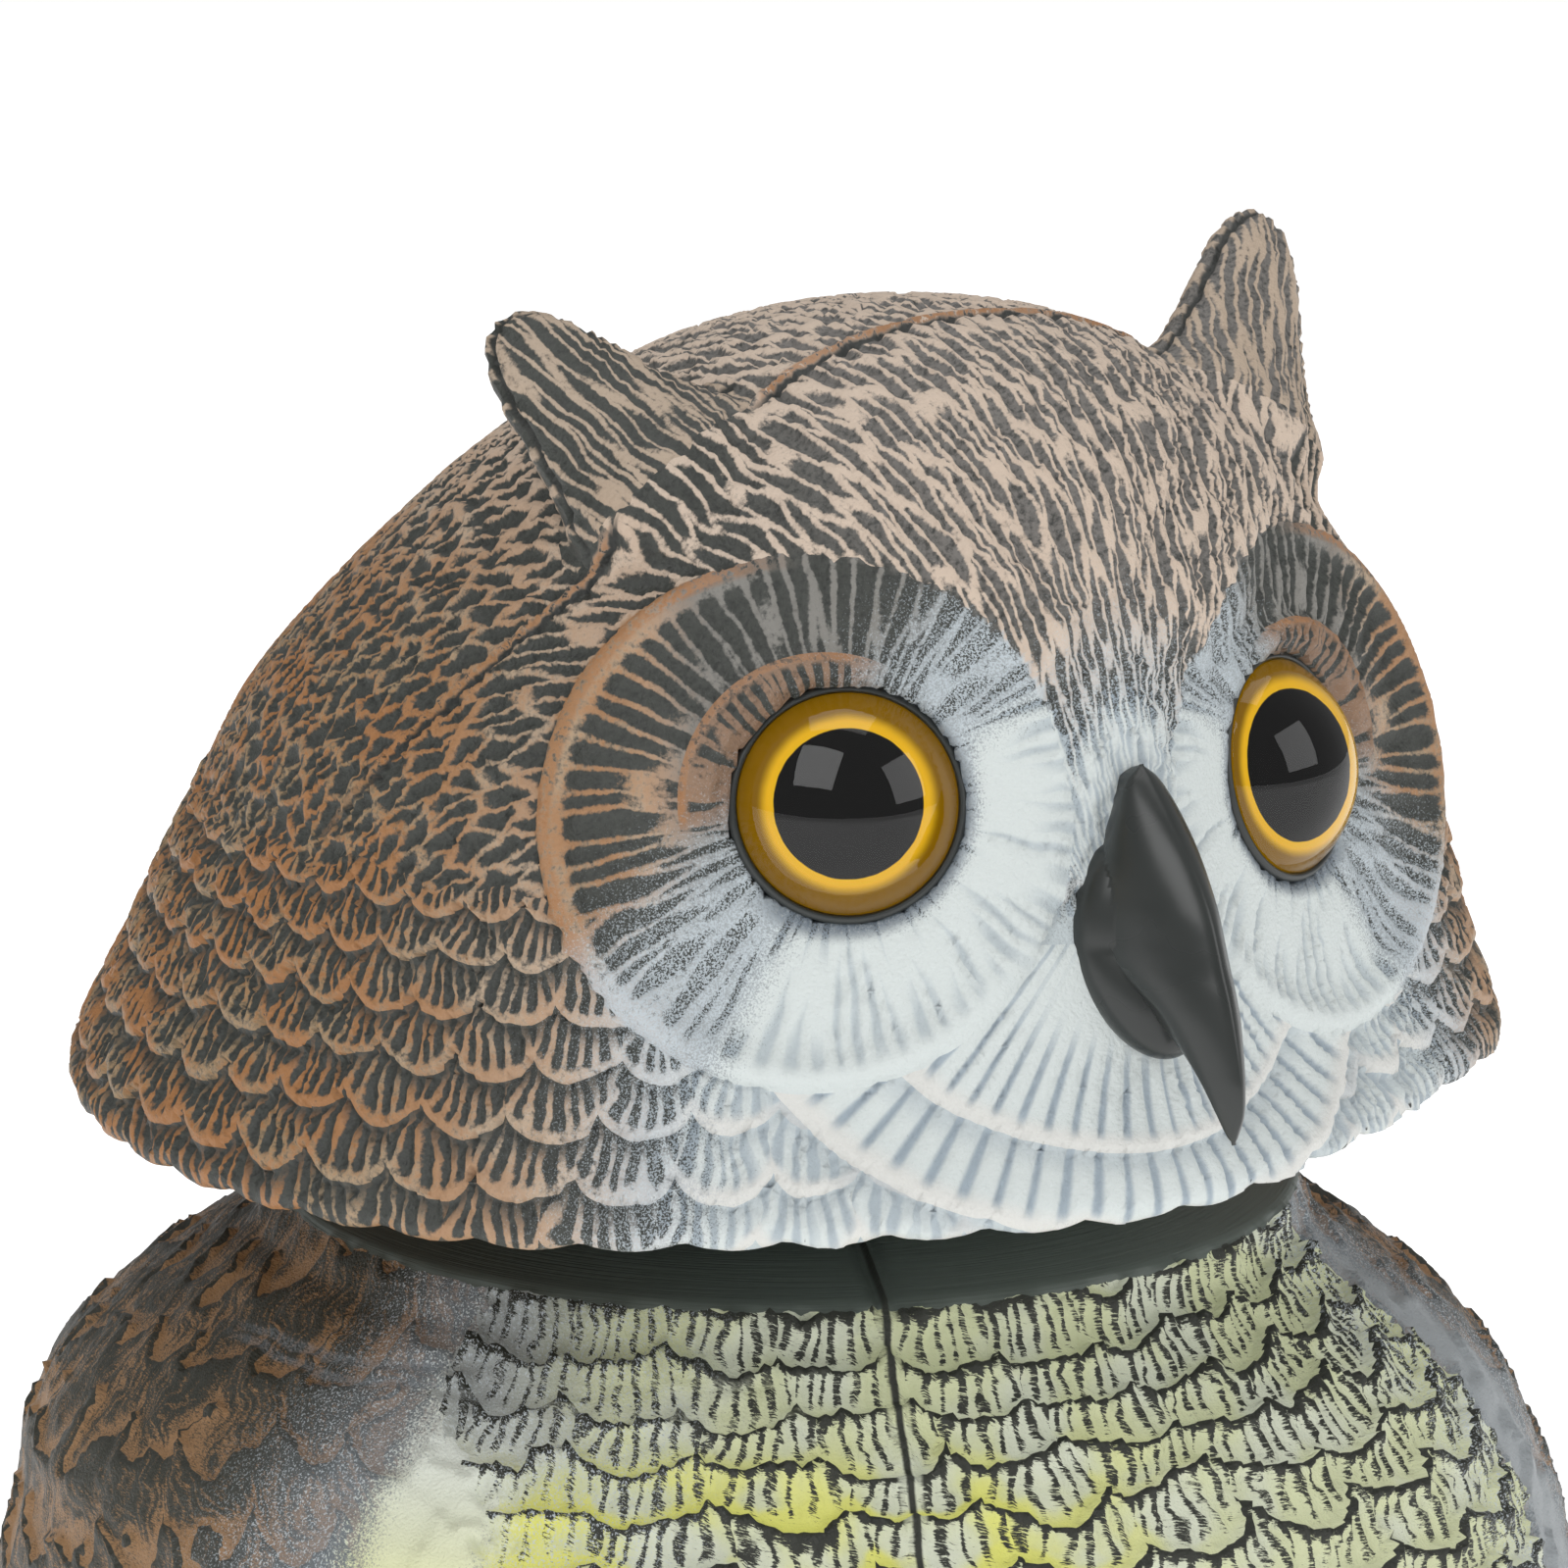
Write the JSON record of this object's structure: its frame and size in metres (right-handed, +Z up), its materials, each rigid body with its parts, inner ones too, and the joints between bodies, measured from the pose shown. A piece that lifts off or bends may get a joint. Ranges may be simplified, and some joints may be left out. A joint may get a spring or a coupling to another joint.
{
  "type": "plastic owl decoy bust with turning head",
  "caption": "Head and shoulders of a painted moulded plastic owl decoy with ear tufts, domed eyes and a hooked beak; the head turns on the neck.",
  "frame": {"origin": "centre of the flat cut underside, on the axis that the head turns about", "axes": "+Z up, chest and neck seam facing -Y, the owl's own left side at +X; the head is shown turned 21 degrees from the chest toward +X"},
  "size_m": [0.257, 0.2442, 0.2242],
  "materials": {
    "body_shell": "moulded plastic, dark brown-grey with tan ridges at the shoulders, pale yellow and black brushed chest",
    "head_shell": "moulded plastic, charcoal grooves and orange-tan ridges, sprayed white about the beak and chin",
    "eye": "clear domed plastic over a painted amber ring and black pupil",
    "beak": "glossy black moulded plastic"
  },
  "bodies": {
    "trunk": {"body": "body_shell"},
    "skull": {"head": "head_shell", "eye_right": "eye", "eye_left": "eye", "beak": "beak"}
  },
  "joints": [
    {"name": "head_turn", "type": "hinge", "parent": "trunk", "child": "skull", "pos_m": [0, 0, 0.099], "axis": [0, 0, 1], "continuous": true}
  ]
}
